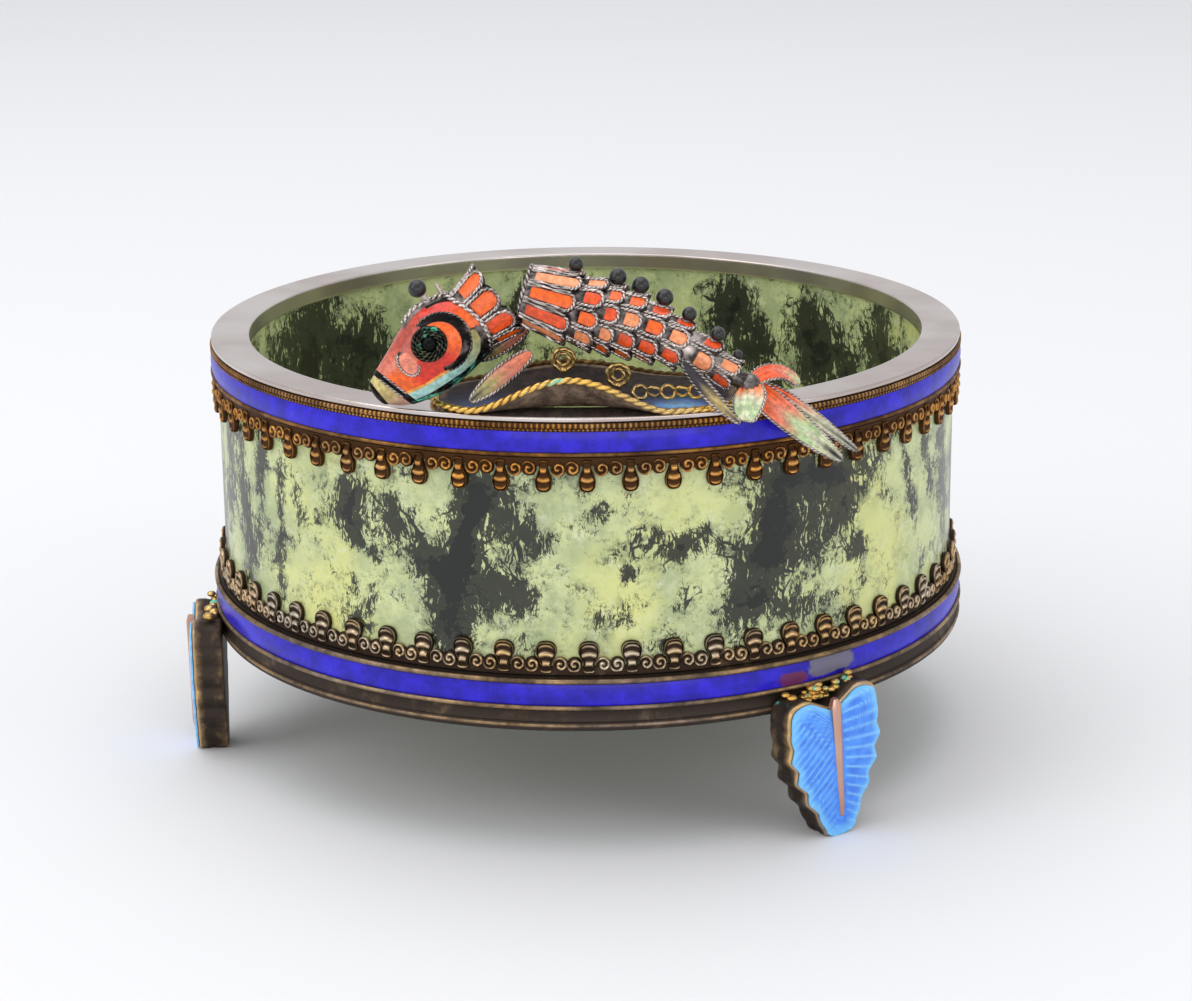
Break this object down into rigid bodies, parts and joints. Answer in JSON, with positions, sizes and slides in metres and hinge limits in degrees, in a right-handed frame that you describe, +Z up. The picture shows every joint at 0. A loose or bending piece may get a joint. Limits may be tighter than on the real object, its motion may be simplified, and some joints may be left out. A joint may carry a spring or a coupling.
{
  "type": "cloisonne ashtray",
  "caption": "Round stone ashtray bound in enamelled silver-gilt bands, on leaf feet, with a jointed enamel fish on a lotus leaf across its rim.",
  "frame": {"origin": "on the surface it stands on, under the middle of the whole piece", "axes": "+Z up, -Y towards the fish at the front, +X towards the fish's tail"},
  "size_m": [0.0999, 0.099, 0.0702],
  "materials": {
    "stone": "polished pale green stone with black feathery markings",
    "silver": "satin pale silver, faintly tarnished",
    "gilt_silver": "worn gilding over oxidised silver, dark in the recesses",
    "dark_silver": "oxidised silver, bright on its high edges",
    "bright_gilt": "bright gilt wire with green copper bloom",
    "pad_metal": "brown tarnished metal with blue enamel laid inside",
    "royal_enamel": "glossy ultramarine enamel",
    "sky_enamel": "sky blue enamel with fine lighter veins",
    "coral_enamel": "coral and orange enamel in cells of dark silver wire",
    "foot_rib": "bare pinkish metal"
  },
  "bodies": {
    "root": {"stone_bowl": "stone", "rim_plate": "silver", "upper_band": "gilt_silver", "upper_enamel": "royal_enamel", "upper_gallery": "gilt_silver", "lower_band": "gilt_silver", "lower_enamel": "royal_enamel", "lower_gallery": "gilt_silver", "foot_1_plate": "gilt_silver", "foot_1_enamel": "sky_enamel", "foot_1_rib": "foot_rib", "foot_2_plate": "gilt_silver", "foot_2_enamel": "sky_enamel", "foot_2_rib": "foot_rib", "foot_3_plate": "gilt_silver", "foot_3_enamel": "sky_enamel", "foot_3_rib": "foot_rib", "pad": "pad_metal", "pad_rope": "bright_gilt", "fish_head": "coral_enamel", "fish_collar": "coral_enamel", "fish_eye_left": "dark_silver", "fish_eye_right": "dark_silver", "fish_body_1": "coral_enamel", "fish_body_2": "coral_enamel", "fish_body_3": "coral_enamel", "fish_body_4": "coral_enamel", "fish_body_5": "coral_enamel", "fish_body_6": "coral_enamel", "fish_body_7": "coral_enamel", "fish_body_8": "coral_enamel", "fish_tail": "coral_enamel", "fish_pectoral_left": "dark_silver", "fish_pectoral_right": "dark_silver", "fish_pelvic_left": "dark_silver", "fish_pelvic_right": "dark_silver", "fixing_ring_1": "bright_gilt", "fixing_ring_2": "bright_gilt", "chain": "bright_gilt"}
  },
  "joints": []
}
